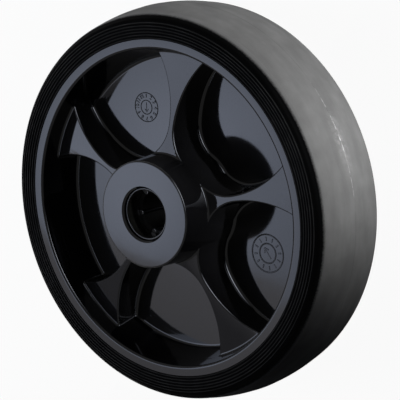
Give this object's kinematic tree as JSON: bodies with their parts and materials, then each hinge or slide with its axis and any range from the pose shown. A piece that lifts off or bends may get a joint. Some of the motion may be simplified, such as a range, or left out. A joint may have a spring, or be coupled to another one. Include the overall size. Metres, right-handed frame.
{
  "type": "trolley wheel",
  "caption": "Solid rubber trolley wheel on a moulded spoked centre, with a long hub and a roller bearing for a round axle.",
  "frame": {"origin": "centre of the hub's rear end face, at the bottom of the wheel as it stands on its hub", "axes": "+Z along the wheel's axis from the rear to the front side; +X along the middle of one spoke"},
  "size_m": [0.2, 0.2, 0.08],
  "materials": {
    "tyre_rubber": "solid black rubber, ground matte tread and glossy moulded sidewalls",
    "wheel_centre_nylon": "black moulded nylon, high gloss",
    "bush_plastic": "black moulded plastic",
    "cage_plastic": "black moulded plastic, satin",
    "roller_steel": "ground bearing steel"
  },
  "bodies": {
    "wheel": {"tyre": "tyre_rubber", "wheel_centre": "wheel_centre_nylon", "bush_front": "bush_plastic", "bush_rear": "bush_plastic"},
    "cage": {"roller_cage": "cage_plastic"},
    "roller_1": {"roller_1": "roller_steel"},
    "roller_2": {"roller_2": "roller_steel"},
    "roller_3": {"roller_3": "roller_steel"},
    "roller_4": {"roller_4": "roller_steel"},
    "roller_5": {"roller_5": "roller_steel"},
    "roller_6": {"roller_6": "roller_steel"}
  },
  "joints": [
    {"name": "cage_spin", "type": "hinge", "parent": "wheel", "child": "cage", "pos_m": [0, 0, 0.04], "axis": [0, 0, 1], "continuous": true},
    {"name": "roller_1_spin", "type": "hinge", "parent": "cage", "child": "roller_1", "pos_m": [0.0116, 0, 0.04], "axis": [0, 0, 1], "continuous": true},
    {"name": "roller_2_spin", "type": "hinge", "parent": "cage", "child": "roller_2", "pos_m": [0.0058, 0.01005, 0.04], "axis": [0, 0, 1], "continuous": true},
    {"name": "roller_3_spin", "type": "hinge", "parent": "cage", "child": "roller_3", "pos_m": [-0.0058, 0.01005, 0.04], "axis": [0, 0, 1], "continuous": true},
    {"name": "roller_4_spin", "type": "hinge", "parent": "cage", "child": "roller_4", "pos_m": [-0.0116, 0, 0.04], "axis": [0, 0, 1], "continuous": true},
    {"name": "roller_5_spin", "type": "hinge", "parent": "cage", "child": "roller_5", "pos_m": [-0.0058, -0.01005, 0.04], "axis": [0, 0, 1], "continuous": true},
    {"name": "roller_6_spin", "type": "hinge", "parent": "cage", "child": "roller_6", "pos_m": [0.0058, -0.01005, 0.04], "axis": [0, 0, 1], "continuous": true}
  ],
  "couplings": [
    {"joint": "roller_1_spin", "follows": "cage_spin", "ratio": -9.2857},
    {"joint": "roller_2_spin", "follows": "cage_spin", "ratio": -9.2857},
    {"joint": "roller_3_spin", "follows": "cage_spin", "ratio": -9.2857},
    {"joint": "roller_4_spin", "follows": "cage_spin", "ratio": -9.2857},
    {"joint": "roller_5_spin", "follows": "cage_spin", "ratio": -9.2857},
    {"joint": "roller_6_spin", "follows": "cage_spin", "ratio": -9.2857}
  ]
}
